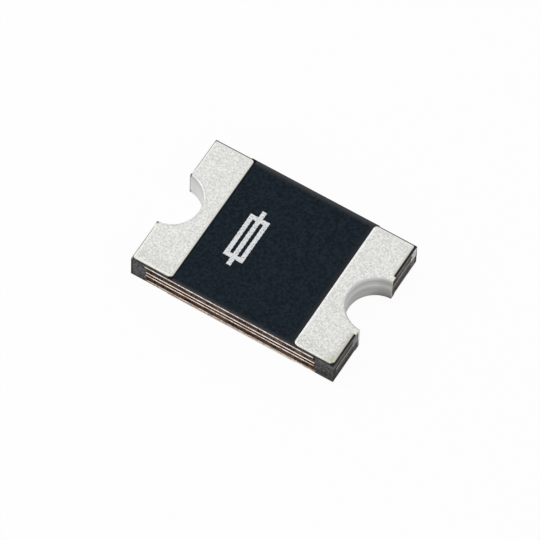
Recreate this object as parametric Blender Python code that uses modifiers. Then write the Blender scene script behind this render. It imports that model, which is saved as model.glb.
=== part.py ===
"""A surface-mount resettable fuse, modelled layer by layer.

Two chips of conductive polymer lie between four etched electrode foils. Glass-filled resin sheets
bond the stack and cover it, solder pads sit above and below, and a drilled hole at each end, plated
with copper and tin and then sawn in half, joins the pads to the foils of its own side.

X runs from terminal to terminal, Y across the part and Z up. The origin is the centre of the
underside, so the part stands on Z = 0.
"""

import math
from collections import namedtuple

import bmesh
import bpy
from mathutils import Matrix

MM = 0.001

# Size of the part as it is sawn from its panel
BODY_LENGTH = 4.60 * MM
BODY_WIDTH = 3.18 * MM

# Thickness of each kind of layer
PTC_THICKNESS = 0.140 * MM
FOIL_THICKNESS = 0.040 * MM
INNER_PREPREG_THICKNESS = 0.070 * MM
COVER_PREPREG_THICKNESS = 0.035 * MM
PAD_FOIL_THICKNESS = 0.012 * MM
PLATING_THICKNESS = 0.022 * MM
TIN_THICKNESS = 0.012 * MM
MASK_THICKNESS = 0.030 * MM
INK_THICKNESS = 0.008 * MM

# Terminals: a solder pad above and below, joined down the half-round notch
TERMINAL_LENGTH = 0.923 * MM
NOTCH_RADIUS = 0.605 * MM
NOTCH_RIM_RADIUS = 0.055 * MM
WALL_PLATING_THICKNESS = 0.038 * MM
PAD_SIDE_MARGIN = 0.030 * MM
PAD_END_MARGIN = 0.033 * MM
PAD_RING_WIDTH = 0.100 * MM
PAD_INNER_CORNER_RADIUS = 0.080 * MM
PAD_OUTER_CORNER_RADIUS = 0.050 * MM
PAD_EDGE_RADIUS = 0.018 * MM

# The holes are drilled along the middle of the saw's cut, which takes this width away
SAW_KERF = 0.060 * MM

# How far the holes, the pads and the mask lie off the centre of the sawn body along X
PATTERN_SHIFT = -0.010 * MM

# Reliefs etched out of the electrode foils
END_RELIEF_LENGTH = 0.388 * MM
CORNER_RELIEF_WIDTH = 0.100 * MM
NOTCH_CLEARANCE = 0.250 * MM

# How far each foil's etched pattern lies off centre along X
OUTER_FOIL_TOP_SHIFT = -0.075 * MM
INNER_FOIL_UPPER_SHIFT = -0.040 * MM
INNER_FOIL_LOWER_SHIFT = -0.050 * MM
OUTER_FOIL_BOTTOM_SHIFT = -0.010 * MM

# Printed symbol of a fuse: a box with a line through it, lengthwise across the part
MARK_CENTRE_X = -0.615 * MM
MARK_CENTRE_Y = -0.035 * MM
MARK_LENGTH = 1.385 * MM
MARK_BOX_LENGTH = 1.060 * MM
MARK_BOX_WIDTH = 0.440 * MM
MARK_STROKE = 0.090 * MM

# Fineness of the round forms
CIRCLE_SEGMENTS = 72
CORNER_SEGMENTS = 6
RIM_SEGMENTS = 5
EDGE_SEGMENTS = 2

# How far the shapes run past the faces that they open. Each goes beyond the one that it cuts.
OVERRUN = 0.200 * MM
SEAT_PAD_OVERRUN = 0.400 * MM
SEAT_BOARD_OVERRUN = 0.600 * MM
WASTE_OVERRUN = 0.800 * MM

# What counts as one point, as one plane and as one smooth surface
WELD_DISTANCE = 0.00001 * MM
FLAT_ANGLE = math.radians(0.1)
SMOOTH_ANGLE = math.radians(30)

LEFT = -1
RIGHT = 1
SIDE_NAMES = {LEFT: "left", RIGHT: "right"}

# The drilled hole is wider than the finished notch by its copper and its tin
DRILL_RADIUS = NOTCH_RADIUS + TIN_THICKNESS + WALL_PLATING_THICKNESS
PAD_HEIGHT = PAD_FOIL_THICKNESS + PLATING_THICKNESS + TIN_THICKNESS

Span = namedtuple("Span", "low high")
Foil = namedtuple("Foil", "name joined_side shift resin")
Level = namedtuple("Level", "inset height hole_radius rim_radius")

# The laminate from its lowest layer up
STACK = (
    ("prepreg_bottom", COVER_PREPREG_THICKNESS),
    ("outer_foil_bottom", FOIL_THICKNESS),
    ("ptc_chip_lower", PTC_THICKNESS),
    ("inner_foil_lower", FOIL_THICKNESS),
    ("prepreg_middle", INNER_PREPREG_THICKNESS),
    ("inner_foil_upper", FOIL_THICKNESS),
    ("ptc_chip_upper", PTC_THICKNESS),
    ("outer_foil_top", FOIL_THICKNESS),
    ("prepreg_top", COVER_PREPREG_THICKNESS),
)

# The outer pair of foils meets the left terminal and the inner pair the right one.
# Each is bedded in the resin sheet that fills its reliefs.
FOILS = (
    Foil("outer_foil_top", LEFT, OUTER_FOIL_TOP_SHIFT, "prepreg_top"),
    Foil("inner_foil_upper", RIGHT, INNER_FOIL_UPPER_SHIFT, "prepreg_middle"),
    Foil("inner_foil_lower", RIGHT, INNER_FOIL_LOWER_SHIFT, "prepreg_middle"),
    Foil("outer_foil_bottom", LEFT, OUTER_FOIL_BOTTOM_SHIFT, "prepreg_bottom"),
)

# A terminal is built up in three levels: etched pads, copper over them and tin over the copper.
# A level is given by how far it lies inside the finished pad, its height and the hole that it leaves.
ETCHED = Level(
    inset=TIN_THICKNESS + PLATING_THICKNESS,
    height=PAD_FOIL_THICKNESS,
    hole_radius=DRILL_RADIUS,
    rim_radius=0,
)
COPPERED = Level(
    inset=TIN_THICKNESS,
    height=PAD_FOIL_THICKNESS + PLATING_THICKNESS,
    hole_radius=DRILL_RADIUS - WALL_PLATING_THICKNESS,
    rim_radius=max(NOTCH_RIM_RADIUS - TIN_THICKNESS, 0),
)
TINNED = Level(
    inset=0,
    height=PAD_HEIGHT,
    hole_radius=NOTCH_RADIUS,
    rim_radius=NOTCH_RIM_RADIUS,
)

# Base colour, metallic value and roughness of each finish
FINISHES = {
    "tin": ((0.73, 0.74, 0.70), 0.85, 0.48),
    "copper": ((0.72, 0.42, 0.30), 1.0, 0.35),
    "foil": ((0.72, 0.58, 0.52), 1.0, 0.35),
    "polymer": ((0.030, 0.024, 0.020), 0.0, 0.60),
    "resin": ((0.060, 0.052, 0.044), 0.0, 0.45),
    "mask": ((0.012, 0.018, 0.028), 0.0, 0.55),
    "ink": ((0.72, 0.73, 0.73), 0.0, 0.60),
}


def clear_scene():
    for item in list(bpy.data.objects):
        bpy.data.objects.remove(item, do_unlink=True)


def new_collection(name):
    group = bpy.data.collections.new(name)
    bpy.context.scene.collection.children.link(group)
    return group


# Outlines

def arc(centre, radius, start, end, segments):
    """Points along an arc, its angles in degrees."""
    points = []
    for step in range(segments + 1):
        angle = math.radians(start + (end - start) * step / segments)
        points.append((centre[0] + radius * math.cos(angle), centre[1] + radius * math.sin(angle)))
    return points


def ellipse_quarter(corner, along, across, segments):
    """A quarter ellipse centred on a corner, from along the corner's X edge to across its Y edge."""
    points = []
    for step in range(segments + 1):
        angle = math.radians(90 * step / segments)
        points.append((corner[0] - along * math.cos(angle), corner[1] - across * math.sin(angle)))
    return points


def rectangle(low_x, high_x, low_y, high_y):
    return [(low_x, low_y), (high_x, low_y), (high_x, high_y), (low_x, high_y)]


def mirrored_in_y(points):
    """The same points reflected and reversed, so that they carry the outline on."""
    return [(x, -y) for x, y in reversed(points)]


def turned_about(points):
    """The same points turned half round the part's centre."""
    return [(-x, -y) for x, y in points]


def facing(points, side):
    """Points drawn for the right-hand end, moved to the given end."""
    return [(x * side, y) for x, y in points]


def on_pattern(points):
    """The same points, moved from the sawn body's centre to the pattern's."""
    return [(x + PATTERN_SHIFT, y) for x, y in points]


def without_repeats(points):
    """The outline with each point that lies on the one before it left out."""
    return [
        point
        for index, point in enumerate(points)
        if math.dist(point, points[index - 1]) > 2 * WELD_DISTANCE
    ]


def setback(side):
    """How far the centre of a hole lies beyond the sawn end of its side."""
    return SAW_KERF / 2 + PATTERN_SHIFT * side


def bite(side):
    """What the drill leaves of its hole in one end, drawn for the right-hand end from low Y up."""
    centre = (BODY_LENGTH / 2 + setback(side), 0)
    half_angle = math.degrees(math.acos(setback(side) / DRILL_RADIUS))
    return arc(centre, DRILL_RADIUS, 180 + half_angle, 180 - half_angle, CIRCLE_SEGMENTS // 2)


def body_outline():
    """The sawn rectangle with the drill's bite in the middle of each end."""
    end = BODY_LENGTH / 2
    edge = BODY_WIDTH / 2
    right_end = [(end, -edge), *bite(RIGHT), (end, edge)]
    left_end = [(end, -edge), *bite(LEFT), (end, edge)]
    return right_end + turned_about(left_end)


def pad_outline(side, inset, run_out):
    """A solder pad with rounded corners, whose ring round the hole runs out past the saw cut."""
    end = BODY_LENGTH / 2
    inner_x = end - TERMINAL_LENGTH + inset
    outer_x = end - PAD_END_MARGIN - inset
    edge_y = BODY_WIDTH / 2 - PAD_SIDE_MARGIN - inset
    ring_y = DRILL_RADIUS + PAD_RING_WIDTH - inset
    inner_radius = max(PAD_INNER_CORNER_RADIUS - inset, 0)
    outer_radius = max(PAD_OUTER_CORNER_RADIUS - inset, 0)
    inner_centre = (inner_x + inner_radius, edge_y - inner_radius)
    outer_centre = (outer_x - outer_radius, edge_y - outer_radius)
    half = [
        *arc(inner_centre, inner_radius, 180, 90, CORNER_SEGMENTS),
        *arc(outer_centre, outer_radius, 90, 0, CORNER_SEGMENTS),
        (outer_x, ring_y),
        (end + run_out, ring_y),
    ]
    return on_pattern(facing(without_repeats(half + mirrored_in_y(half)), side))


def mask_outline():
    """The band between the terminals, fitted round the inner corners of the finished pads."""
    inner_x = BODY_LENGTH / 2 - TERMINAL_LENGTH
    radius = PAD_INNER_CORNER_RADIUS
    centre = (inner_x + radius, BODY_WIDTH / 2 - PAD_SIDE_MARGIN - radius)
    corner = [*arc(centre, radius, 180, 90, CORNER_SEGMENTS), (centre[0], BODY_WIDTH / 2)]
    right_end = mirrored_in_y(corner) + corner
    return on_pattern(without_repeats(right_end + turned_about(right_end)))


def foil_outline(foil, run_out):
    """An electrode foil: it meets the hole at one end and stops short of it at the other.

    run_out carries its sawn edges past the body, which gives the outline of the room it takes.
    """
    end = BODY_LENGTH / 2
    edge = BODY_WIDTH / 2
    shift = foil.shift * foil.joined_side
    joined_relief = END_RELIEF_LENGTH - shift
    open_relief = END_RELIEF_LENGTH + shift

    # Joined end, with both corners etched away
    corner = ellipse_quarter((end, edge), joined_relief, CORNER_RELIEF_WIDTH, CORNER_SEGMENTS)
    upper_half = [(end - joined_relief, edge + run_out), *corner, (end + run_out, corner[-1][1])]
    sawn_hole = [] if run_out else list(reversed(bite(foil.joined_side)))
    joined_end = upper_half + sawn_hole + mirrored_in_y(upper_half)

    # Open end, straight but for the clearance round the hole
    open_x = -end + open_relief
    hole_x = -end - setback(-foil.joined_side)
    clear_radius = DRILL_RADIUS + NOTCH_CLEARANCE
    half_angle = math.degrees(math.acos((open_x - hole_x) / clear_radius))
    clearance = arc((hole_x, 0), clear_radius, -half_angle, half_angle, CIRCLE_SEGMENTS // 3)
    open_end = [(open_x, -edge - run_out), *clearance, (open_x, edge + run_out)]
    return facing(without_repeats(joined_end + open_end), foil.joined_side)


def mark_outlines():
    """The symbol's outer edge and the two windows that its line leaves in the box."""
    half_stroke = MARK_STROKE / 2
    half_box = MARK_BOX_LENGTH / 2
    half_width = MARK_BOX_WIDTH / 2
    shoulder = [(half_width, half_box), (half_stroke, half_box), (half_stroke, MARK_LENGTH / 2)]
    upper_edge = shoulder + [(-x, y) for x, y in reversed(shoulder)]
    outer_edge = upper_edge + turned_about(upper_edge)
    inner_box = half_box - MARK_STROKE
    right_window = rectangle(half_stroke, half_width - MARK_STROKE, -inner_box, inner_box)
    outlines = (outer_edge, right_window, turned_about(right_window))
    return [[(x + MARK_CENTRE_X, y + MARK_CENTRE_Y) for x, y in outline] for outline in outlines]


# Solids

def as_mesh(source, group):
    """Replaces a filled curve by a closed mesh of the same name, with each flat face in one."""
    name = source.name
    group.objects.link(source)
    graph = bpy.context.evaluated_depsgraph_get()
    mesh = bpy.data.meshes.new_from_object(source.evaluated_get(graph))
    shape = bmesh.new()
    shape.from_mesh(mesh)
    bmesh.ops.remove_doubles(shape, verts=shape.verts, dist=WELD_DISTANCE)
    bmesh.ops.dissolve_limit(shape, angle_limit=FLAT_ANGLE, verts=shape.verts, edges=shape.edges)
    shape.to_mesh(mesh)
    shape.free()
    mesh.shade_smooth()
    mesh.set_sharp_from_angle(angle=SMOOTH_ANGLE)
    place = source.matrix_world.copy()
    bpy.data.objects.remove(source, do_unlink=True)
    solid = bpy.data.objects.new(name, mesh)
    solid.matrix_world = place
    group.objects.link(solid)
    return solid


def plate(name, outlines, span, group):
    """A flat piece with the given outlines, the first its edge and the others its windows."""
    curve = bpy.data.curves.new(name, "CURVE")
    curve.dimensions = "2D"
    curve.fill_mode = "BOTH"
    curve.extrude = (span.high - span.low) / 2
    for outline in outlines:
        spline = curve.splines.new("POLY")
        spline.points.add(len(outline) - 1)
        spline.use_cyclic_u = True
        for point, (x, y) in zip(spline.points, outline):
            point.co = (x, y, 0, 1)
    source = bpy.data.objects.new(name, curve)
    source.matrix_world = Matrix.Translation((0, 0, (span.low + span.high) / 2))
    return as_mesh(source, group)


def round_flat_edges(solid, radius):
    """Rounds the edges between a plate's flat faces and its sides."""
    shape = bmesh.new()
    shape.from_mesh(solid.data)
    edges = []
    for edge in shape.edges:
        lies_flat = [abs(face.normal.z) > 0.5 for face in edge.link_faces]
        if any(lies_flat) and not all(lies_flat):
            edges.append(edge)
    bmesh.ops.bevel(
        shape,
        geom=edges,
        offset=radius,
        offset_type="OFFSET",
        segments=EDGE_SEGMENTS,
        profile=0.5,
        affect="EDGES",
    )
    shape.to_mesh(solid.data)
    shape.free()


def combine(piece, other, operation):
    step = piece.modifiers.new(f"{operation.lower()} {other.name}", "BOOLEAN")
    step.object = other
    step.operation = operation
    step.solver = "EXACT"


def cut(piece, cutter):
    combine(piece, cutter, "DIFFERENCE")


def join(piece, other):
    combine(piece, other, "UNION")


# Terminals

def level_span(level, laminate):
    """From the underside of a level's lower pads to the top of its upper ones."""
    return Span(laminate.low - level.height, laminate.high + level.height)


def hole(name, side, level, laminate, cutters):
    """The air in the hole at one level: a cylinder that flares into the pads by the rim's radius."""
    span = level_span(level, laminate)
    flare = level.hole_radius + level.rim_radius
    upper_rim = arc((flare, span.high - level.rim_radius), level.rim_radius, 90, 180, RIM_SEGMENTS)
    lower_rim = arc((flare, span.low + level.rim_radius), level.rim_radius, 180, 270, RIM_SEGMENTS)
    mouth = [(0, span.high + OVERRUN), (flare, span.high + OVERRUN)]
    foot = [(flare, span.low - OVERRUN), (0, span.low - OVERRUN)]
    profile = without_repeats(mouth + upper_rim + lower_rim + foot)
    mesh = bpy.data.meshes.new(name)
    edges = [(index, index + 1) for index in range(len(profile) - 1)]
    mesh.from_pydata([(radius, 0, height) for radius, height in profile], edges, [])
    cutter = bpy.data.objects.new(name, mesh)
    cutter.location.x = side * (BODY_LENGTH / 2 + setback(side))
    cutters.objects.link(cutter)
    turn = cutter.modifiers.new("turn about the hole", "SCREW")
    turn.angle = math.radians(360)
    turn.steps = CIRCLE_SEGMENTS
    turn.render_steps = CIRCLE_SEGMENTS
    turn.use_merge_vertices = True
    turn.merge_threshold = WELD_DISTANCE
    return cutter


def waste(side, laminate, cutters):
    """What the saw takes off beyond one end of the body."""
    end = BODY_LENGTH / 2
    reach = end + DRILL_RADIUS + WASTE_OVERRUN
    half_width = BODY_WIDTH / 2 + OVERRUN
    outline = facing(rectangle(end, reach, -half_width, half_width), side)
    span = level_span(TINNED, laminate)
    span = Span(span.low - OVERRUN, span.high + OVERRUN)
    return plate(f"waste_{SIDE_NAMES[side]}", [outline], span, cutters)


def clad_board(name, side, level, laminate, cutters):
    """One end of the board with the pads and the hole of a level, run out past its sawn faces."""
    end = BODY_LENGTH / 2
    half_width = BODY_WIDTH / 2 + OVERRUN
    inner_x = end - TERMINAL_LENGTH - OVERRUN
    outline = rectangle(inner_x, end + SEAT_BOARD_OVERRUN, -half_width, half_width)
    board = plate(name, [facing(outline, side)], laminate, cutters)
    pads = [pad_outline(side, level.inset, SEAT_PAD_OVERRUN)]
    join(board, plate(f"{name}_pads", pads, level_span(level, laminate), cutters))
    cut(board, hole(f"{name}_hole", side, level, laminate, cutters))
    return board


def metal_skin(name, side, level, under, laminate, end_waste, parts, cutters):
    """What a level adds to the board that the level under it leaves."""
    label = f"{name}_{SIDE_NAMES[side]}"
    skin = plate(label, [pad_outline(side, level.inset, OVERRUN)], level_span(level, laminate), parts)
    if level is TINNED:
        round_flat_edges(skin, PAD_EDGE_RADIUS)
    cut(skin, clad_board(f"{label}_seat", side, under, laminate, cutters))
    cut(skin, hole(f"{label}_hole", side, level, laminate, cutters))
    cut(skin, end_waste)
    return skin


def make_terminals(laminate, parts, cutters):
    """Etched pads, the copper plated over them and down the hole, and the tin over the copper."""
    pad_spans = {
        "top": Span(laminate.high, laminate.high + ETCHED.height),
        "bottom": Span(laminate.low - ETCHED.height, laminate.low),
    }
    for side in (LEFT, RIGHT):
        label = SIDE_NAMES[side]
        end_waste = waste(side, laminate, cutters)
        drill = hole(f"drill_{label}", side, ETCHED, laminate, cutters)
        for face, span in pad_spans.items():
            outline = pad_outline(side, ETCHED.inset, OVERRUN)
            pad = plate(f"pad_foil_{face}_{label}", [outline], span, parts)
            cut(pad, drill)
            cut(pad, end_waste)
            paint(pad, "copper")
        copper = metal_skin("copper_plating", side, COPPERED, ETCHED, laminate, end_waste, parts, cutters)
        paint(copper, "copper")
        tin = metal_skin("tin_finish", side, TINNED, COPPERED, laminate, end_waste, parts, cutters)
        paint(tin, "tin")


# Laminate and cover

def foil_room(foil, level, resin_level, cutters):
    """The room that a foil takes in the resin, open on the side where the polymer lies."""
    if level.low < resin_level.low:
        room = Span(level.low - OVERRUN, level.high)
    else:
        room = Span(level.low, level.high + OVERRUN)
    return plate(f"{foil.name}_room", [foil_outline(foil, OVERRUN)], room, cutters)


def make_laminate(levels, parts, cutters):
    """Polymer chips, electrode foils, and the resin sheets that fill the foils' reliefs."""
    for name in ("ptc_chip_upper", "ptc_chip_lower"):
        paint(plate(name, [body_outline()], levels[name], parts), "polymer")
    for foil in FOILS:
        paint(plate(foil.name, [foil_outline(foil, 0)], levels[foil.name], parts), "foil")
    for name in ("prepreg_top", "prepreg_middle", "prepreg_bottom"):
        bedded = [foil for foil in FOILS if foil.resin == name]
        filled = [levels[name], *(levels[foil.name] for foil in bedded)]
        whole = Span(min(level.low for level in filled), max(level.high for level in filled))
        sheet = plate(name, [body_outline()], whole, parts)
        for foil in bedded:
            cut(sheet, foil_room(foil, levels[foil.name], levels[name], cutters))
        paint(sheet, "resin")


def make_cover(laminate, parts):
    """Solder mask above and below, and the symbol printed on the upper one."""
    upper = Span(laminate.high, laminate.high + MASK_THICKNESS)
    lower = Span(laminate.low - MASK_THICKNESS, laminate.low)
    paint(plate("solder_mask_top", [mask_outline()], upper, parts), "mask")
    paint(plate("solder_mask_bottom", [mask_outline()], lower, parts), "mask")
    ink = Span(upper.high, upper.high + INK_THICKNESS)
    paint(plate("marking", mark_outlines(), ink, parts), "ink")


def paint(piece, finish):
    """Gives a piece a material of its own."""
    colour, metallic, roughness = FINISHES[finish]
    material = bpy.data.materials.new(f"{piece.name}_{finish}")
    material.use_nodes = True
    shader = material.node_tree.nodes["Principled BSDF"]
    shader.inputs["Base Color"].default_value = (*colour, 1)
    shader.inputs["Metallic"].default_value = metallic
    shader.inputs["Roughness"].default_value = roughness
    material.diffuse_color = (*colour, 1)
    piece.data.materials.append(material)


def stack_levels():
    """The underside and top of every layer of the laminate."""
    levels = {}
    height = PAD_HEIGHT
    for name, thickness in STACK:
        levels[name] = Span(height, height + thickness)
        height += thickness
    return levels


def main():
    clear_scene()
    parts = new_collection("resettable_fuse")
    cutters = new_collection("cutters")
    levels = stack_levels()
    laminate = Span(levels["prepreg_bottom"].low, levels["prepreg_top"].high)
    make_laminate(levels, parts, cutters)
    make_terminals(laminate, parts, cutters)
    make_cover(laminate, parts)
    for cutter in cutters.objects:
        cutter.hide_render = True
        cutter.display_type = "WIRE"


main()
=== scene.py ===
# %% [markdown]
# # A surface-mount resettable fuse
#
# The part is a flat laminate under 5 mm long. Two chips of conductive polymer lie between metal
# foils, resin sheets cover them, and a tinned terminal wraps each end through a half-round notch.
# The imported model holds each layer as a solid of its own. This script dresses those solids, and
# models anew the pieces whose look depends on soft edges: the tin and the print.

import math

import bmesh
import bpy
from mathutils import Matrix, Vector


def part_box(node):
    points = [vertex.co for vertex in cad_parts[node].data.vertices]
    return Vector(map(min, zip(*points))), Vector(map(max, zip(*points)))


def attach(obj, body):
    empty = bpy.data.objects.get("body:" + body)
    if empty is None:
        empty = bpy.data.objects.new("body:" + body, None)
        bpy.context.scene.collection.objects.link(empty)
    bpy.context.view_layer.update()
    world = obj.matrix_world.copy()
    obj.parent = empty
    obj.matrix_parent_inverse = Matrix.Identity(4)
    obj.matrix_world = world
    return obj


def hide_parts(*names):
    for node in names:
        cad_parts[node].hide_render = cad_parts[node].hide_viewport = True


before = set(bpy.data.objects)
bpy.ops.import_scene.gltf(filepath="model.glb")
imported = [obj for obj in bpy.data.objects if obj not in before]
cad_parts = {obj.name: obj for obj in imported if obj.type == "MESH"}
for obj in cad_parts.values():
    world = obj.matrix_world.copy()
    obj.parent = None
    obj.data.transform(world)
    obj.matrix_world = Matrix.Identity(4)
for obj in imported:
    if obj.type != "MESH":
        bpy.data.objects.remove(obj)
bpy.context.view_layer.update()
print("Layers and terminals:", ", ".join(sorted(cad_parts)))

# %% [markdown]
# ## Camera
#
# The part was photographed from far away with a long lens, so parallel edges stay almost parallel.
# The lens could be chosen first, but the distance alone sets how much the edges converge. So the
# distance comes first, and the lens follows from the wanted scale: how many pixels of the picture
# one millimetre fills. An angle round the part, a height and a slight roll give the direction.

# %% Direction of the camera
MM = 0.001
CAMERA_AZIMUTH = math.radians(28.75)
CAMERA_ELEVATION = math.radians(60.05)
CAMERA_ROLL = math.radians(2.79)

back = Vector((
    math.sin(CAMERA_AZIMUTH) * math.cos(CAMERA_ELEVATION),
    -math.cos(CAMERA_AZIMUTH) * math.cos(CAMERA_ELEVATION),
    math.sin(CAMERA_ELEVATION),
))
level_right = Vector((math.cos(CAMERA_AZIMUTH), math.sin(CAMERA_AZIMUTH), 0))
level_up = back.cross(level_right)
right = math.cos(CAMERA_ROLL) * level_right + math.sin(CAMERA_ROLL) * level_up
up = back.cross(right)
print("Towards the camera:", [round(share, 3) for share in back])

# %% Place and lens of the camera
PICTURE_SIDE = 540
SENSOR_WIDTH = 36
CAMERA_DISTANCE = 120 * MM
PIXELS_PER_MM = 51.09
ORIGIN_PIXEL = (273.63, 268.52)
NEAREST_SEEN = 1 * MM
FURTHEST_SEEN = 10

aside = (PICTURE_SIDE / 2 - ORIGIN_PIXEL[0]) / PIXELS_PER_MM * MM
below = (ORIGIN_PIXEL[1] - PICTURE_SIDE / 2) / PIXELS_PER_MM * MM
bpy.ops.object.camera_add(location=back * CAMERA_DISTANCE + right * aside + up * below)
camera = bpy.context.object
camera.name = "camera"
camera.rotation_euler = (-back).to_track_quat("-Z", "Y").to_euler()
camera.rotation_euler.rotate_axis("Z", CAMERA_ROLL)
camera.data.sensor_width = SENSOR_WIDTH
camera.data.lens = PIXELS_PER_MM * CAMERA_DISTANCE / MM / PICTURE_SIDE * SENSOR_WIDTH
camera.data.clip_start = NEAREST_SEEN
camera.data.clip_end = FURTHEST_SEEN
bpy.context.scene.camera = camera
print(f"Lens of {camera.data.lens:.0f} mm at {CAMERA_DISTANCE / MM:.0f} mm")

# %% [markdown]
# ## Nodes
#
# The floor, the world and every material are trees of nodes. Written out in full, a node fills a
# line for each input, so a helper takes them by name, and links those that are another's output.

# %% Helpers that add nodes
def add_node(tree, kind, settings=None, **inputs):
    """Adds a node with its settings, and sets or links inputs by name or, as _1, by number."""
    node = tree.nodes.new(kind)
    for name, value in (settings or {}).items():
        setattr(node, name, value)
    for name, value in inputs.items():
        key = int(name[1:]) if name[0] == "_" else name.replace("_", " ")
        if isinstance(value, bpy.types.NodeSocket):
            tree.links.new(value, node.inputs[key])
        else:
            node.inputs[key].default_value = value
    return node


def math_node(tree, operation, first, second=0.0, clamp=False):
    """A sum or another operation on two values."""
    settings = {"operation": operation, "use_clamp": clamp}
    return add_node(tree, "ShaderNodeMath", settings, _0=first, _1=second).outputs[0]


# %% [markdown]
# ## Floor and light
#
# More light would whiten the ground, but bleach the part too. The floor and the world therefore look
# white only to rays from the camera or from a reflection, while the part itself is lit at a plain
# level. A soft lamp on the left lights the part from that side, and painted shade adds to the walls'
# difference.

# %% Rays that see the white ground
def seen_directly(tree):
    """A value that is 1 for rays from the camera, a reflection or a transmission."""
    path = tree.nodes.new("ShaderNodeLightPath").outputs
    seen = path["Is Camera Ray"]
    for kind in ("Is Glossy Ray", "Is Transmission Ray"):
        seen = math_node(tree, "MAXIMUM", seen, path[kind])
    return seen


# %% Floor
WHITE = (1, 1, 1, 1)
FLOOR_SIDE = 400 * MM
FLOOR_COLOUR = (0.90, 0.90, 0.90, 1)
FLOOR_GLOW = 0.95

bpy.ops.mesh.primitive_plane_add(size=FLOOR_SIDE)
floor = bpy.context.object
floor.name = "floor"

paper = bpy.data.materials.new("white_paper")
paper.use_nodes = True
tree = paper.node_tree
tree.nodes.clear()
matte = add_node(tree, "ShaderNodeBsdfDiffuse", Color=FLOOR_COLOUR)
glow = add_node(tree, "ShaderNodeEmission", Color=WHITE)
share = math_node(tree, "MULTIPLY", seen_directly(tree), FLOOR_GLOW)
mix = add_node(tree, "ShaderNodeMixShader", Fac=share, _1=matte.outputs[0], _2=glow.outputs[0])
add_node(tree, "ShaderNodeOutputMaterial", Surface=mix.outputs[0])
floor.data.materials.append(paper)
print(f"Floor: {FLOOR_SIDE / MM:.0f} mm wide")

# %% World
WORLD_LIGHT = 0.67

world = bpy.data.worlds.new("white_world")
world.use_nodes = True
bpy.context.scene.world = world
bpy.context.scene.view_settings.view_transform = "Standard"
tree = world.node_tree
level = add_node(
    tree, "ShaderNodeMapRange", Value=seen_directly(tree), To_Min=WORLD_LIGHT, To_Max=1
)
background = tree.nodes["Background"]
background.inputs["Color"].default_value = WHITE
tree.links.new(level.outputs[0], background.inputs["Strength"])
print("World light on the part:", WORLD_LIGHT)

# %% Lamp, whose brightness is that of its face, whatever its size
LAMP_PLACE = Vector((-62, -22, 46)) * MM
LAMP_SIDE = 46 * MM
LAMP_BRIGHTNESS = 3.2

bpy.ops.object.light_add(type="AREA", location=LAMP_PLACE)
lamp = bpy.context.object
lamp.name = "left_lamp"
lamp.rotation_euler = LAMP_PLACE.to_track_quat("Z", "Y").to_euler()
lamp.data.shape = "SQUARE"
lamp.data.size = LAMP_SIDE
lamp.data.energy = LAMP_BRIGHTNESS * math.pi * lamp.data.size ** 2
print(f"Lamp: {lamp.data.energy * 1000:.1f} mW at {LAMP_PLACE.length / MM:.0f} mm")

# %% [markdown]
# ## A workbench for very small parts
#
# Blender's operators merge points that lie closer than a tenth of a millimetre, and the plating here
# is thinner than that. Each new piece is therefore modelled with millimetres in the place of metres,
# and shrunk a thousand times when it is finished. Sizes shared with the model are read from it,
# because a written copy would go stale.

# %% Sizes read from the model, in millimetres
def box_mm(node):
    """The lowest and the highest corner of a solid, in millimetres."""
    low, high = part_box(node)
    return low / MM, high / MM


body_high = box_mm("ptc_chip_upper")[1]
tin_low, tin_high = box_mm("tin_finish_right")
left_inner = box_mm("tin_finish_left")[1].x
laminate_low = box_mm("prepreg_bottom")[0].z
laminate_high = box_mm("prepreg_top")[1].z
mark_low, mark_high = box_mm("marking")
HALF_LENGTH = body_high.x
HALF_WIDTH = body_high.y
PAD_INNER = (tin_low.x - left_inner) / 2
PADS_OFF_CENTRE = (tin_low.x + left_inner) / 2
print(f"Body {2 * HALF_LENGTH:.2f} x {2 * HALF_WIDTH:.2f} mm, {tin_high.z:.3f} mm high")
print(f"The pads lie {PADS_OFF_CENTRE:.3f} mm off its centre along X")

# %% Helpers of the workbench
CLOSE = 0.0005


def only(piece):
    """Selects one piece and makes it the active one."""
    bpy.ops.object.select_all(action="DESELECT")
    piece.select_set(True)
    bpy.context.view_layer.objects.active = piece


def pick(piece, kind, test):
    """In edit mode, selects the vertices, edges or faces that pass a test on their place."""
    bpy.ops.mesh.select_mode(type={"verts": "VERT", "edges": "EDGE", "faces": "FACE"}[kind])
    bpy.ops.mesh.select_all(action="DESELECT")
    mesh = bmesh.from_edit_mesh(piece.data)
    for item in [item for item in getattr(mesh, kind) if test(item)]:
        item.select_set(True)
    bmesh.update_edit_mesh(piece.data)


def apply_modifier(piece, kind, **settings):
    """Adds a modifier with the given settings and applies it."""
    only(piece)
    step = piece.modifiers.new(kind.lower(), kind)
    for name, value in settings.items():
        setattr(step, name, value)
    bpy.ops.object.modifier_apply(modifier=step.name)


def shrink_to_size(piece):
    """Brings a piece from the workbench to its real size, with its place in its mesh."""
    only(piece)
    piece.scale = (MM, MM, MM)
    piece.location = piece.location * MM
    bpy.ops.object.transform_apply(location=True, rotation=True, scale=True)


# %% [markdown]
# ## Tin terminals
#
# Tin is plated over the copper as a skin of even thickness: over both pads, round their edges and
# down the notch. Carved from a block, it would be uneven at every rounded edge. So it is made as it
# forms: a solid blank is given the outer shape, its edges are rounded, only the faces that were
# plated are kept, and these get their thickness last. The blank has the pads' outline, and a tab
# that runs on past the saw cut, as on the factory's panel.

# %% Blank of a terminal
SAW_KERF = 0.06
END_MARGIN = 0.033
RING_HALF_WIDTH = 0.755
RUN_PAST_SAW = 0.20
INNER_CORNER_RADIUS = 0.08
INNER_CORNER_STEPS = 10
OUTER_CORNER_RADIUS = 0.05
OUTER_CORNER_STEPS = 8
# The share of a face's normal along an axis, above which the face looks along that axis.
STRAIGHT_ON = 0.9

HOLE_AXIS = HALF_LENGTH + SAW_KERF / 2
PAD_END = HALF_LENGTH - END_MARGIN
PAD_SIDE = tin_high.y


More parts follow.
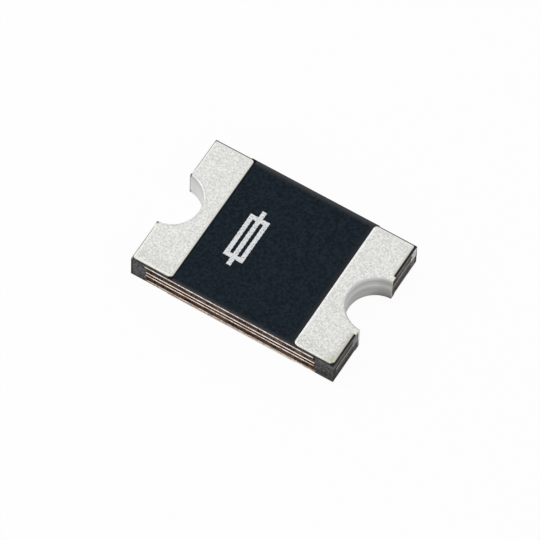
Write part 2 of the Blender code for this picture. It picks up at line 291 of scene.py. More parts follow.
def upright_at(x, y):
    """A test for the upright edges at a distance from the part's middle."""
    def test(edge):
        middle = (edge.verts[0].co + edge.verts[1].co) / 2
        upright = abs(edge.verts[0].co.z - edge.verts[1].co.z) > CLOSE
        return upright and abs(middle.x - x) < CLOSE and abs(abs(middle.y) - y) < CLOSE
    return test


def blank(name, inner, outer):
    """A block with the outline of the pads, and in its middle a tab that runs past the saw."""
    bpy.ops.object.select_all(action="DESELECT")
    bpy.ops.mesh.primitive_cube_add(
        size=1,
        location=((inner + outer) / 2, 0, tin_high.z / 2),
        scale=(outer - inner, 2 * PAD_SIDE, tin_high.z),
    )
    piece = bpy.context.object
    piece.name = name
    bpy.ops.object.transform_apply(location=True, rotation=True, scale=True)
    bpy.ops.object.mode_set(mode="EDIT")
    for ring_edge in (-RING_HALF_WIDTH, RING_HALF_WIDTH):
        bpy.ops.mesh.select_all(action="SELECT")
        bpy.ops.mesh.bisect(plane_co=(0, ring_edge, 0), plane_no=(0, 1, 0), threshold=CLOSE)
    pick(piece, "faces", lambda face: (
        face.normal.x > STRAIGHT_ON and abs(face.calc_center_median().y) < RING_HALF_WIDTH
    ))
    bpy.ops.mesh.extrude_region_move(TRANSFORM_OT_translate={"value": (RUN_PAST_SAW, 0, 0)})
    pick(piece, "edges", upright_at(inner, PAD_SIDE))
    bpy.ops.mesh.bevel(offset=INNER_CORNER_RADIUS, segments=INNER_CORNER_STEPS, affect="EDGES")
    pick(piece, "edges", upright_at(outer, PAD_SIDE))
    bpy.ops.mesh.bevel(offset=OUTER_CORNER_RADIUS, segments=OUTER_CORNER_STEPS, affect="EDGES")
    bpy.ops.object.mode_set(mode="OBJECT")
    return piece


# %% [markdown]
# On the panel each drilled hole is shared by two parts, and the saw runs through its middle. The cut
# takes some width away, so less than half a hole is left on each side, and the hole's axis lies in
# the air beyond the part. The half-round could be drawn, but a drill that is subtracted makes it
# from one radius and one axis. A bevel then rolls its mouth over.

# %% Notch with a rolled rim
NOTCH_RADIUS = 0.605
NOTCH_STEPS = 128
DRILL_DEPTH = 3 * tin_high.z
RIM_RADIUS = 0.055
RIM_STEPS = 8
EDGE_RADIUS = 0.018
EDGE_STEPS = 4
# The share below which a face stands on edge.
EDGE_ON = 0.1


def from_axis(place, axis):
    """How far a point lies from the upright axis of a hole."""
    return math.hypot(place.x - axis, place.y)


def borders_flat_face(edge):
    """True where a pad's flat face meets a wall."""
    level = sorted(abs(face.normal.z) for face in edge.link_faces)
    return len(level) == 2 and level[0] < EDGE_ON and level[1] > STRAIGHT_ON


def cut_notch(piece, axis):
    """Drills the notch, rolls its mouth over, and rounds the pads' outlines."""
    bpy.ops.object.select_all(action="DESELECT")
    bpy.ops.mesh.primitive_cylinder_add(
        vertices=NOTCH_STEPS,
        radius=NOTCH_RADIUS,
        depth=DRILL_DEPTH,
        location=(axis, 0, tin_high.z / 2),
    )
    drill = bpy.context.object
    apply_modifier(piece, "BOOLEAN", object=drill, operation="DIFFERENCE", solver="EXACT")
    bpy.data.objects.remove(drill, do_unlink=True)
    bpy.ops.object.mode_set(mode="EDIT")
    pick(piece, "edges", lambda edge: borders_flat_face(edge) and all(
        abs(from_axis(vertex.co, axis) - NOTCH_RADIUS) < CLOSE for vertex in edge.verts
    ))
    bpy.ops.mesh.bevel(offset=RIM_RADIUS, segments=RIM_STEPS, affect="EDGES")
    pick(piece, "edges", borders_flat_face)
    bpy.ops.mesh.bevel(offset=EDGE_RADIUS, segments=EDGE_STEPS, affect="EDGES")
    bpy.ops.object.mode_set(mode="OBJECT")


# %% [markdown]
# The saw cuts the terminal after plating, so the end face stays open and shows the skin's edge. A
# plane cuts the tab off, the faces that lie on the laminate are deleted, and Solidify thickens the
# rest inwards. Points that all but coincide are merged before that, because a sliver between them
# has no clear direction, and the skin would bulge there.

# %% Saw cut, plated faces and thickness
TIN_THICKNESS = 0.012
SLIVER = 0.002
SMOOTH_BELOW = math.radians(35)


def keep_plated_skin(piece, axis):
    """Saws the tab off, keeps the faces that were plated, and gives them their thickness."""
    def lies_on_laminate(face):
        middle = face.calc_center_median()
        on_side = from_axis(middle, axis) > NOTCH_RADIUS + RIM_RADIUS
        return on_side and laminate_low < middle.z < laminate_high

    only(piece)
    bpy.ops.object.mode_set(mode="EDIT")
    bpy.ops.mesh.select_all(action="SELECT")
    bpy.ops.mesh.bisect(
        plane_co=(HALF_LENGTH, 0, 0), plane_no=(1, 0, 0), threshold=CLOSE, clear_outer=True
    )
    for height in (laminate_low, laminate_high):
        bpy.ops.mesh.select_all(action="SELECT")
        bpy.ops.mesh.bisect(plane_co=(0, 0, height), plane_no=(0, 0, 1), threshold=CLOSE)
    bpy.ops.mesh.select_all(action="SELECT")
    bpy.ops.mesh.remove_doubles(threshold=SLIVER)
    pick(piece, "faces", lies_on_laminate)
    bpy.ops.mesh.delete(type="FACE")
    bpy.ops.object.mode_set(mode="OBJECT")
    apply_modifier(piece, "SOLIDIFY", thickness=TIN_THICKNESS, offset=-1)
    bpy.ops.object.shade_smooth_by_angle(angle=SMOOTH_BELOW)
    apply_modifier(piece, "WEIGHTED_NORMAL", keep_sharp=True)


# %% [markdown]
# The saw ran a hundredth of a millimetre beside its line, so the pads are off centre by that much. A
# mirrored copy would bring the shift along and point it the wrong way. Each terminal is therefore
# modelled at the right-hand end with its own distances, and the left one is then turned round.

# %% Both terminals
terminals = {}
for side, name, turn in ((1, "right", 0), (-1, "left", math.pi)):
    shift = side * PADS_OFF_CENTRE
    piece = blank(f"tin_{name}", PAD_INNER + shift, PAD_END + shift)
    cut_notch(piece, HOLE_AXIS + shift)
    keep_plated_skin(piece, HOLE_AXIS + shift)
    piece.rotation_euler.z = turn
    shrink_to_size(piece)
    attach(piece, "root")
    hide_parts(f"tin_finish_{name}")
    terminals[name] = piece
    print("Tin skin,", name, len(piece.data.polygons), "faces")

# %% [markdown]
# ## Printed mark
#
# The mark is the general symbol of a fuse: a box with a line through it. A printer lays the ink
# down in rows of dots, so the long edges of each stroke are toothed. A picture on the mask would
# blur from near, so the strokes are modelled: a grid has one row of points for each row of dots, and
# every other pair of rows is widened, which makes the teeth.

# %% Strokes of the mark
STROKE = 0.09
DOT_ROW = 0.022
TOOTH = 0.11
BOX_LENGTH = 1.06


def stroke(middle, length, width, turned):
    """A printed bar with toothed edges, along Y or, where turned, along X."""
    rows = 2 * round(length / DOT_ROW / 2)
    bpy.ops.object.select_all(action="DESELECT")
    bpy.ops.mesh.primitive_grid_add(x_subdivisions=1, y_subdivisions=rows, size=1)
    bar = bpy.context.object
    bar.scale = (width, length, 1)
    bpy.ops.object.transform_apply(location=False, rotation=False, scale=True)
    bpy.ops.object.mode_set(mode="EDIT")
    pick(bar, "verts", lambda vertex: (
        round((vertex.co.y + length / 2) / length * rows) % 4 in (1, 2)
    ))
    bpy.ops.transform.resize(value=(1 + TOOTH, 1, 1), center_override=(0, 0, 0))
    bpy.ops.object.mode_set(mode="OBJECT")
    bar.rotation_euler.z = math.pi / 2 if turned else 0
    bar.location = middle
    apply_modifier(bar, "SOLIDIFY", thickness=mark_high.z - mark_low.z, offset=1)
    bpy.ops.object.transform_apply(location=True, rotation=True, scale=True)
    return bar


# %% The mark put together
mark_middle = (mark_low + mark_high) / 2
mark_middle.z = mark_low.z
box_width = mark_high.x - mark_low.x
margin = STROKE * TOOTH / 2
side_offset = (box_width - STROKE) / 2 - margin
end_offset = (BOX_LENGTH - STROKE) / 2 - margin
mark = stroke(mark_middle, mark_high.y - mark_low.y, STROKE, False)
mark.name = "mark"
for sign in (-1, 1):
    side = stroke(mark_middle + Vector((sign * side_offset, 0, 0)), BOX_LENGTH, STROKE, False)
    end = stroke(mark_middle + Vector((0, sign * end_offset, 0)), box_width, STROKE, True)
    for bar in (side, end):
        apply_modifier(mark, "BOOLEAN", object=bar, operation="UNION", solver="EXACT")
        bpy.data.objects.remove(bar, do_unlink=True)
shrink_to_size(mark)
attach(mark, "root")
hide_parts("marking")
print("Mark:", len(mark.data.polygons), "faces")

# %% [markdown]
# ## Effects that the materials share
#
# Grain, saw marks, dust and the distance from a terminal's outline serve several materials with
# different values. Built again in every material, they would drift apart. So each is a node group
# that is built once, takes a place in millimetres and puts out plain values. A name that ends in
# SPAN holds where a mask is 0 and where it is 1.

# %% Helpers for places, masks and colours
def vector_node(tree, operation, first, second=(0, 0, 0), **inputs):
    """An operation on two places or colours."""
    settings = {"operation": operation}
    node = add_node(tree, "ShaderNodeVectorMath", settings, _0=first, _1=second, **inputs)
    return node.outputs["Value" if operation == "LENGTH" else "Vector"]


def split(tree, place):
    """The distances of a place along X, Y and Z."""
    return add_node(tree, "ShaderNodeSeparateXYZ", Vector=place).outputs


def ramp_between(tree, value, low, high):
    """Rises smoothly from 0 at low to 1 at high, or falls where high is the lower."""
    settings = {"interpolation_type": "SMOOTHSTEP"}
    node = add_node(tree, "ShaderNodeMapRange", settings, Value=value, From_Min=low, From_Max=high)
    return node.outputs[0]


def blend_colours(tree, share, first, second):
    """Goes from the first colour to the second. A Mix node keeps its colour sockets at 6 and 7."""
    first, second = [
        value if isinstance(value, bpy.types.NodeSocket) else (*value, 1) for value in (first, second)
    ]
    settings = {"data_type": "RGBA"}
    return add_node(tree, "ShaderNodeMix", settings, _0=share, _6=first, _7=second).outputs[2]


# %% Helpers for groups
def new_group(name, places=("Place",), numbers=(), outputs=("Value",)):
    """An empty node group with the named inputs and outputs."""
    tree = bpy.data.node_groups.new(name, "ShaderNodeTree")
    for label in places:
        tree.interface.new_socket(label, in_out="INPUT", socket_type="NodeSocketVector")
    for label in numbers:
        tree.interface.new_socket(label, in_out="INPUT", socket_type="NodeSocketFloat")
    for label in outputs:
        tree.interface.new_socket(label, in_out="OUTPUT", socket_type="NodeSocketFloat")
    start = tree.nodes.new("NodeGroupInput")
    end = tree.nodes.new("NodeGroupOutput")
    return tree, start.outputs, end.inputs


def use_group(tree, group, place, output="Value", **inputs):
    """Puts a group in a material, and gives one of its outputs."""
    settings = {"node_tree": group}
    return add_node(tree, "ShaderNodeGroup", settings, Place=place, **inputs).outputs[output]


# %% [markdown]
# Tin, lacquer, resin and ink are all finely mottled, and noise gives that. Blender asks how many
# lumps fill a length, but their size can be measured on the real part, so the group takes a size.

# %% Grain
def noise(tree, place, size, **settings):
    """Noise whose lumps are about as large as the size."""
    scale = math_node(tree, "DIVIDE", 1.0, size)
    return add_node(tree, "ShaderNodeTexNoise", Vector=place, Scale=scale, **settings).outputs["Fac"]


grain, given, result = new_group("grain", numbers=("Size", "Contrast"))
lumps = noise(grain, given["Place"], given["Size"], Detail=3.0, Roughness=0.6)
centred = math_node(grain, "SUBTRACT", lumps, 0.5)
stretched = math_node(grain, "MULTIPLY", centred, given["Contrast"])
grain.links.new(math_node(grain, "ADD", stretched, 0.5, clamp=True), result["Value"])

# %% [markdown]
# The saw scratches a cut face level, and where its teeth cross a foil they drag the metal upright.
# The same noise does for both: with the place squeezed in one direction, every lump is drawn out
# that way, into a scratch or a streak.

# %% Saw marks and streaks
ALONG_THE_CUT = 0.06
UP_THE_EDGE = 0.25
STREAK_SPAN = (0.32, 0.68)

saw_marks, given, result = new_group("saw_marks", numbers=("Pitch",))
squeezed = vector_node(saw_marks, "MULTIPLY", given["Place"], (ALONG_THE_CUT, ALONG_THE_CUT, 1))
saw_marks.links.new(noise(saw_marks, squeezed, given["Pitch"], Detail=2.0), result["Value"])

streaks, given, result = new_group("streaks", numbers=("Pitch",))
squeezed = vector_node(streaks, "MULTIPLY", given["Place"], (1, 1, UP_THE_EDGE))
bands = noise(streaks, squeezed, given["Pitch"], Detail=2.0, Roughness=0.7)
streaks.links.new(ramp_between(streaks, bands, *STREAK_SPAN), result["Value"])

# %% [markdown]
# Between the pads the saw spreads copper dust over the long cut faces. At this size it only tints
# them, so it needs no grains of its own, just a mask with a soft end. On the top sheet the same mask
# also places painted shade, and on the bottom sheet painted light from the white floor.

# %% Copper dust, and the place of painted shade and light
DUST_OFF_CENTRE = -0.035
LONG_SIDE_SPAN = (HALF_WIDTH - 0.01, HALF_WIDTH - 0.002)

dust, given, result = new_group("copper_dust", numbers=("Reach", "Softness"))
axes = split(dust, given["Place"])
along = math_node(dust, "ABSOLUTE", math_node(dust, "SUBTRACT", axes["X"], DUST_OFF_CENTRE))
past_reach = math_node(dust, "SUBTRACT", along, given["Reach"])
share = math_node(dust, "DIVIDE", past_reach, given["Softness"])
inside = math_node(dust, "SUBTRACT", 0.5, share, clamp=True)
on_long_side = ramp_between(dust, math_node(dust, "ABSOLUTE", axes["Y"]), *LONG_SIDE_SPAN)
dust.links.new(math_node(dust, "MULTIPLY", inside, on_long_side), result["Value"])

# %% [markdown]
# Burnished edges, the notch's lip and the bare margin all follow a terminal's outline. A mask could
# be painted for them, but the outline is only some straight lines and a circle, so the distance from
# it is worked out. The place is first folded over at the pads' own centre, so one end is enough.

# %% Distances from a terminal's outline
outline, given, result = new_group("terminal_outline", outputs=("Inside Pad", "From Notch"))
centred = vector_node(outline, "SUBTRACT", given["Place"], (PADS_OFF_CENTRE, 0, 0))
axes = split(outline, vector_node(outline, "ABSOLUTE", centred))
from_inner = math_node(outline, "SUBTRACT", axes["X"], PAD_INNER)
from_side = math_node(outline, "SUBTRACT", PAD_SIDE, axes["Y"])
from_end = math_node(outline, "SUBTRACT", PAD_END, axes["X"])
inside_ring = math_node(outline, "SUBTRACT", RING_HALF_WIDTH, axes["Y"])
nearest = math_node(outline, "MINIMUM", from_inner, from_side)
from_outer = math_node(outline, "MAXIMUM", from_end, inside_ring)
outline.links.new(math_node(outline, "MINIMUM", nearest, from_outer), result["Inside Pad"])
short_of_axis = math_node(outline, "SUBTRACT", axes["X"], HOLE_AXIS)
level_place = add_node(outline, "ShaderNodeCombineXYZ", X=short_of_axis, Y=axes["Y"]).outputs[0]
radius = vector_node(outline, "LENGTH", level_place)
outline.links.new(math_node(outline, "SUBTRACT", radius, NOTCH_RADIUS), result["From Notch"])

# %% [markdown]
# A worn corner or a smear shows in one place only. Each is a box with soft edges, given by its
# middle and its reach to either side, so no image is needed.

# %% A patch with soft edges
patch, given, result = new_group(
    "patch", places=("Place", "Middle", "Reach"), numbers=("Softness",)
)
offset = vector_node(patch, "SUBTRACT", given["Place"], given["Middle"])
beyond = vector_node(patch, "SUBTRACT", vector_node(patch, "ABSOLUTE", offset), given["Reach"])
axes = split(patch, beyond)
furthest = math_node(patch, "MAXIMUM", math_node(patch, "MAXIMUM", axes["X"], axes["Y"]), axes["Z"])
outer = math_node(patch, "MULTIPLY", given["Softness"], 0.5)
inner = math_node(patch, "MULTIPLY", given["Softness"], -0.5)
patch.links.new(ramp_between(patch, furthest, outer, inner), result["Value"])
print("Effects:", ", ".join(sorted(group.name for group in bpy.data.node_groups)))

# %% [markdown]
# ## Materials
#
# Every material starts the same way: a Principled shader and the place on the part in millimetres,
# taken from Object coordinates, so that a pattern stays on the part however it is seen. What is even
# over the whole surface is set on the shader itself, and the rest comes from the effects.

# %% Start of a material
def new_material(name, metallic, roughness, specular=0.5):
    """A material with its shader's plain values set, and the place in millimetres."""
    made = bpy.data.materials.new(name)
    made.use_nodes = True
    tree = made.node_tree
    shader = tree.nodes["Principled BSDF"]
    shader.inputs["Metallic"].default_value = metallic
    shader.inputs["Roughness"].default_value = roughness
    shader.inputs["Specular IOR Level"].default_value = specular
    coordinates = tree.nodes.new("ShaderNodeTexCoord")
    return made, tree, shader, vector_node(tree, "SCALE", coordinates.outputs["Object"], Scale=1 / MM)


def rough_surface(tree, shader, value, depth_mm):
    """Lets a value raise and lower the surface by a depth."""
    bump = add_node(tree, "ShaderNodeBump", Height=value, Distance=depth_mm * MM)
    tree.links.new(bump.outputs["Normal"], shader.inputs["Normal"])


def faded(tree, share, colour, factor):
    """Darkens or lightens a colour by a factor, in step with a mask."""
    return blend_colours(tree, share, colour, vector_node(tree, "SCALE", colour, Scale=factor))


def patch_on(tree, place, middle, reach, softness):
    """The mask of a patch. One whose middle has no height goes through the whole part."""
    if len(middle) == 2:
        middle = (*middle, 0)
        reach = (*reach, 1)
    return use_group(tree, patch, place, Middle=middle, Reach=reach, Softness=softness)


def shade_profile(tree, value, stops, tint):
    """Follows a table of values and shades, and gives every shade the same tint."""
    node = tree.nodes.new("ShaderNodeValToRGB")
    ramp = node.color_ramp
    ramp.elements[1].position = stops[-1][0]
    for place, _ in stops[1:-1]:
        ramp.elements.new(place)
    for element, (place, shade) in zip(ramp.elements, stops):
        element.position = place
        element.color = (*(shade * channel for channel in tint), 1)
    tree.links.new(value, node.inputs["Fac"])
    return node.outputs["Color"]


# %% [markdown]
# ### Tin
#
# Matte tin is pale and slightly warm, with a strong fine grain of lighter and darker crystals. One
# even colour would look like paint, so the grain blends a pale and a dark tin. The pads are duller
# towards the front, by the near half of the right end and round the left notch, and the front right
# corner is worn yellowish. Masks bring that in.

# %% Tin on the pads
RIGHT_PAD_INNER = tin_low.x
LEFT_PAD_INNER = left_inner
RIGHT_PAD_END = PAD_END + PADS_OFF_CENTRE
TIN_PALE = (0.97, 0.97, 0.935)
TIN_DARK = (0.60, 0.61, 0.58)
TIN_WORN = (0.64, 0.65, 0.53)
CRYSTAL_SIZE = 0.038
CRYSTAL_CONTRAST = 2.7
FRONT_SPAN = (-1.15, -1.50)
FRONT_FADE = 0.93
WORN_CORNER = ((RIGHT_PAD_END, -PAD_SIDE), (0.12, 0.14), 0.09)
NEAR_END = ((HALF_LENGTH, -1.2), (0.14, 0.44), 0.06)
NEAR_END_FADE = 0.82
RIGHT_HALF_SPAN = (-0.1, 0.1)
RIM_SPAN = (0.085, 0.050)
LEFT_RIM_FADE = 0.90

tin, tree, shader, place = new_material("matte_tin", metallic=0.45, roughness=0.5)
crystals = use_group(tree, grain, place, Size=CRYSTAL_SIZE, Contrast=CRYSTAL_CONTRAST)
inside_pad = use_group(tree, outline, place, "Inside Pad")
from_notch = use_group(tree, outline, place, "From Notch")
axes = split(tree, place)
pad_colour = blend_colours(tree, crystals, TIN_DARK, TIN_PALE)
pad_colour = faded(tree, ramp_between(tree, axes["Y"], *FRONT_SPAN), pad_colour, FRONT_FADE)
pad_colour = blend_colours(tree, patch_on(tree, place, *WORN_CORNER), pad_colour, TIN_WORN)
pad_colour = faded(tree, patch_on(tree, place, *NEAR_END), pad_colour, NEAR_END_FADE)
on_right = ramp_between(tree, axes["X"], *RIGHT_HALF_SPAN)
on_left = math_node(tree, "SUBTRACT", 1.0, on_right)
near_rim = ramp_between(tree, from_notch, *RIM_SPAN)
left_rim = math_node(tree, "MULTIPLY", near_rim, on_left)
pad_colour = faded(tree, left_rim, pad_colour, LEFT_RIM_FADE)
print(f"The right pad runs from {RIGHT_PAD_INNER:.3f} to {RIGHT_PAD_END:.3f} mm along X")

# %% [markdown]
# The pads' rounded edges carry a painted highlight: a bright line that is whitest beside the mask on
# the right, where the edge faces the lamp, and yellowish at the right end. Painted shade draws a dark
# grey line instead along the back edges. The line has no thickness, so it isn't modelled: the
# distance from the outline draws it, and two tables give its stretches their middle, reach and
# colour.

# %% Painted highlights and painted shade along the pads' edges
# Painted highlight: the bright line along the pads' rounded edges, whitest where an edge faces the
# lamp.
TIN_EDGE_HIGHLIGHT = (0.92, 0.905, 0.83)
EDGE_HIGHLIGHT_SPAN = (0.055, 0.030)
BROKEN_SPAN = (-0.2, 0.7)
SHEEN_SOFTNESS = 0.02
LINE_SOFTNESS = 0.014
EDGE_SHEENS = (
    ((RIGHT_PAD_INNER, 0), (0.06, 2.0), (0.98, 0.98, 0.965)),
    ((LEFT_PAD_INNER, 0), (0.06, 2.0), (0.74, 0.73, 0.66)),
    ((HALF_LENGTH, 1.2), (0.15, 0.44), (0.70, 0.69, 0.60)),
    ((HALF_LENGTH, -1.2), (0.15, 0.44), (0.62, 0.61, 0.53)),
    ((0, HALF_WIDTH), (3.0, 0.10), (0.80, 0.80, 0.77)),
    ((RIGHT_PAD_END, -PAD_SIDE), (0.22, 0.11), (0.72, 0.71, 0.57)),
    ((HALF_LENGTH, -0.70), (0.016, 0.05), (0.53, 0.51, 0.45)),
    ((HALF_LENGTH, 0.70), (0.016, 0.05), (0.53, 0.50, 0.43)),
)
# Painted shade: dark lines along the back edges, beside the left pad's inner edge and at the right
# pad's end.
EDGE_SHADE_LINES = (
    ((0, PAD_SIDE), (3.0, 0.012), (0.06, 0.06, 0.055)),
    ((LEFT_PAD_INNER, 0), (0.007, 2.0), (0.09, 0.09, 0.08)),
    ((RIGHT_PAD_END, 1.2), (0.003, 0.44), (0.10, 0.095, 0.085)),
    ((RIGHT_PAD_END, -1.2), (0.0, 0.44), (0.10, 0.095, 0.085)),
)

sheen = TIN_EDGE_HIGHLIGHT
for middle, reach, colour in EDGE_SHEENS:
    sheen = blend_colours(tree, patch_on(tree, place, middle, reach, SHEEN_SOFTNESS), sheen, colour)
edge_highlight = ramp_between(tree, inside_pad, *EDGE_HIGHLIGHT_SPAN)
broken = math_node(tree, "MULTIPLY", edge_highlight, ramp_between(tree, crystals, *BROKEN_SPAN))
pad_colour = blend_colours(tree, broken, pad_colour, sheen)
for middle, reach, colour in EDGE_SHADE_LINES:
    line = patch_on(tree, place, middle, reach, LINE_SOFTNESS)
    pad_colour = blend_colours(tree, line, pad_colour, colour)
print("Edge of the pads:", len(EDGE_SHEENS), "sheens and", len(EDGE_SHADE_LINES), "dark lines")

# %% [markdown]
# Down the notches the tin is greyer. The right-hand wall faces away from the lamp, and its duller
# colour is painted shade. Its shade follows the layers of the drilled wall, with a painted shadow as
# a dark line under the rolled lip, a pale band below that and a darker foot. The bands all lie level,
# so one colour ramp over the height holds them, and each stop is a height and a shade.

# %% Tin down the notches
WALL_TINT = (1.0, 1.0, 0.985)
WALL_LEFT = (
    (0.0, 0.71), (0.30, 0.71), (0.45, 0.67), (0.54, 0.65), (0.60, 0.61), (0.64, 0.56), (0.68, 0.62),
)
# Painted shade: the right-hand wall faces away from the lamp, so its shades are lower than the
# left's.
WALL_RIGHT = (
    (0.0, 0.33), (0.05, 0.40), (0.12, 0.45), (0.21, 0.48), (0.29, 0.43), (0.36, 0.54), (0.44, 0.66),
    (0.50, 0.59), (0.555, 0.52), (0.585, 0.49), (0.606, 0.43), (0.625, 0.60), (0.68, 0.70),
)
FOOT_DOWN_SPAN = (0.32, 0.06)
FOOT_ACROSS_SPAN = (0.38, 0.56)
FOOT_FADE = 0.55
BY_SAW_SPAN = (0.50, 0.60)
BY_SAW_FADE = 0.80
BAND_PITCH = 0.05
BAND_SPAN = (0.65, 0.35)
BAND_FADE = 0.92
LIP_LEFT = 0.032
LIP_RIGHT = 0.050

left_wall = shade_profile(tree, axes["Z"], WALL_LEFT, WALL_TINT)
right_wall = shade_profile(tree, axes["Z"], WALL_RIGHT, WALL_TINT)
low_down = ramp_between(tree, axes["Z"], *FOOT_DOWN_SPAN)
foot = math_node(tree, "MULTIPLY", low_down, ramp_between(tree, axes["Y"], *FOOT_ACROSS_SPAN))
right_wall = faded(tree, foot, right_wall, FOOT_FADE)
right_wall = faded(tree, ramp_between(tree, axes["Y"], *BY_SAW_SPAN), right_wall, BY_SAW_FADE)
wall_colour = blend_colours(tree, on_right, left_wall, right_wall)
bands = use_group(tree, saw_marks, place, Pitch=BAND_PITCH)
wall_colour = faded(tree, ramp_between(tree, bands, *BAND_SPAN), wall_colour, BAND_FADE)
lip = add_node(tree, "ShaderNodeMapRange", Value=on_right, To_Min=LIP_LEFT, To_Max=LIP_RIGHT)
past_lip = math_node(tree, "SUBTRACT", lip.outputs[0], from_notch)
on_wall = ramp_between(tree, past_lip, 0.0, RIM_RADIUS / 2)
colour = blend_colours(tree, on_wall, pad_colour, wall_colour)
print("Shades down a notch:", len(WALL_LEFT), "on the left and", len(WALL_RIGHT), "on the right")

# %% [markdown]
# The saw left dark corners where it crossed the tin, dusted the foot of the long side at the left,
# and took the tip off the front right corner. The dark corner at the foot of the right end, under the
# body, is painted shade. The copper below would poke through a tin that is cut any rounder, so the
# tip is only coloured, on the slant, by the distance along its diagonal.

# %% Marks of the saw, and painted shade, on the tin
TIN_SAWN_AND_SHADED = (0.08, 0.08, 0.07)
TIN_DUSTED = (0.42, 0.36, 0.32)
TIN_BUMP = 0.0015
DUSTED_SIDE = ((-1.68, -PAD_SIDE, 0.0), (0.29, 0.02, laminate_low), 0.02)
TIP = RIGHT_PAD_END + PAD_SIDE
TIP_SPAN = (TIP - 0.068, TIP - 0.052)
SAWN_SOFTNESS = 0.02
SAWN_AND_SHADED_CORNERS = (
    ((-HALF_LENGTH, 0.62, 0.66), (0.030, 0.030, 0.035)),
    ((-HALF_LENGTH, 0.60, 0.06), (0.034, 0.050, 0.035)),
    ((-HALF_LENGTH, 0.60, 0.33), (0.010, 0.030, 0.34)),
    ((-HALF_LENGTH, -0.63, 0.66), (0.045, 0.030, 0.03)),
    # Painted shade: the foot of the right end, under the body.
    ((HALF_LENGTH, 0.62, 0.04), (0.06, 0.07, 0.055)),
)

colour = blend_colours(tree, patch_on(tree, place, *DUSTED_SIDE), colour, TIN_DUSTED)
along_diagonal = math_node(tree, "SUBTRACT", axes["X"], axes["Y"])
cut_tip = ramp_between(tree, along_diagonal, *TIP_SPAN)
colour = blend_colours(tree, cut_tip, colour, TIN_SAWN_AND_SHADED)
for middle, reach in SAWN_AND_SHADED_CORNERS:
    corner = patch_on(tree, place, middle, reach, SAWN_SOFTNESS)
    colour = blend_colours(tree, corner, colour, TIN_SAWN_AND_SHADED)
tree.links.new(colour, shader.inputs["Base Color"])
rough_surface(tree, shader, crystals, TIN_BUMP)
finishes = {"tin_finish_left": tin, "tin_finish_right": tin}
print("Nodes in the tin:", len(tree.nodes))

# %% [markdown]
# ### Solder mask
#
# The solder mask is a blue-black lacquer, matte and finely mottled. It is greyer along the sawn
# edges, most of all at the back, and beside the right pad. A thin dark line of painted shadow lies
# between it and the left pad, on the side of the pad away from the lamp. Along the sawn edge of its
# lower sheet, painted light from the white floor turns it pale. One function makes both sheets, so
# they stay alike.

# %% Solder mask
MASK_DARK = (0.0002, 0.0042, 0.0080)
MASK_PALE = (0.0088, 0.0172, 0.0270)
MASK_WORN = (0.030, 0.034, 0.040)
MASK_WORN_BACK = (0.054, 0.056, 0.059)
MASK_BY_PAD = (0.0175, 0.0215, 0.0265)
# Painted shadow: a thin dark line beside the left pad.
MASK_PAINTED_SHADOW = (0.0015, 0.0018, 0.0024)
# Painted light: the pale colours of the lower sheet's sawn edge stand in for light from the white
# floor.
MASK_FLOOR_LIGHT_LEFT = (0.74, 0.63, 0.56)
MASK_FLOOR_LIGHT_RIGHT = (1.0, 0.96, 0.92)
SPECK_SIZE = 0.058
SPECK_CONTRAST = 4.5
BY_PAD_SPAN = (RIGHT_PAD_INNER - 0.13, RIGHT_PAD_INNER - 0.02)
WORN_SPAN = (HALF_WIDTH - 0.07, HALF_WIDTH)
WORN_BACK_SPAN = (HALF_WIDTH - 0.15, HALF_WIDTH)
LEFT_PAD_SHADOW_SPAN = (0.04, 0.02)
SAWN_EDGE_SPAN = (HALF_WIDTH - 0.006, HALF_WIDTH - 0.001)
TO_RIGHT_SPAN = (-HALF_LENGTH / 2, HALF_LENGTH / 2)
MASK_BUMP = 0.002


def mask_material(name, lit_from_floor):
    """The lacquer of one sheet, with painted light from the white floor along its sawn edge where it
    is lit from the floor.
    """
    made, tree, shader, place = new_material(name, metallic=0, roughness=0.62, specular=0.12)
    specks = use_group(tree, grain, place, Size=SPECK_SIZE, Contrast=SPECK_CONTRAST)
    axes = split(tree, place)
    colour = blend_colours(tree, specks, MASK_DARK, MASK_PALE)
    by_pad = ramp_between(tree, axes["X"], *BY_PAD_SPAN)
    colour = blend_colours(tree, by_pad, colour, MASK_BY_PAD)
    across = math_node(tree, "ABSOLUTE", axes["Y"])
    colour = blend_colours(tree, ramp_between(tree, across, *WORN_SPAN), colour, MASK_WORN)
    worn_back = ramp_between(tree, axes["Y"], *WORN_BACK_SPAN)
    colour = blend_colours(tree, worn_back, colour, MASK_WORN_BACK)
    from_left_pad = math_node(tree, "SUBTRACT", axes["X"], LEFT_PAD_INNER)
    colour = blend_colours(tree, ramp_between(tree, from_left_pad, *LEFT_PAD_SHADOW_SPAN), colour, MASK_PAINTED_SHADOW)
    if lit_from_floor:
        to_right = ramp_between(tree, axes["X"], *TO_RIGHT_SPAN)
        sawn_edge_colour = blend_colours(tree, to_right, MASK_FLOOR_LIGHT_LEFT, MASK_FLOOR_LIGHT_RIGHT)
        colour = blend_colours(tree, ramp_between(tree, across, *SAWN_EDGE_SPAN), colour, sawn_edge_colour)
    tree.links.new(colour, shader.inputs["Base Color"])
    rough_surface(tree, shader, specks, MASK_BUMP)
    return made


finishes["solder_mask_top"] = mask_material("solder_mask", lit_from_floor=False)
finishes["solder_mask_bottom"] = mask_material("solder_mask_below", lit_from_floor=True)
print("Finishes so far:", ", ".join(finishes))

# %% [markdown]
# ### Ink
#
# Marking ink is a thin grey-white film. It covers the mask unevenly, so darker pinholes show in it.
# They are too small to be worth holes in the mesh, so grain stands in for them.

# %% Ink
INK_PALE = (0.88, 0.89, 0.90)
INK_THIN = (0.42, 0.44, 0.46)
PINHOLE_SIZE = 0.03
PINHOLE_CONTRAST = 3.0
PINHOLE_SPAN = (0.05, 0.55)
INK_BUMP = 0.001

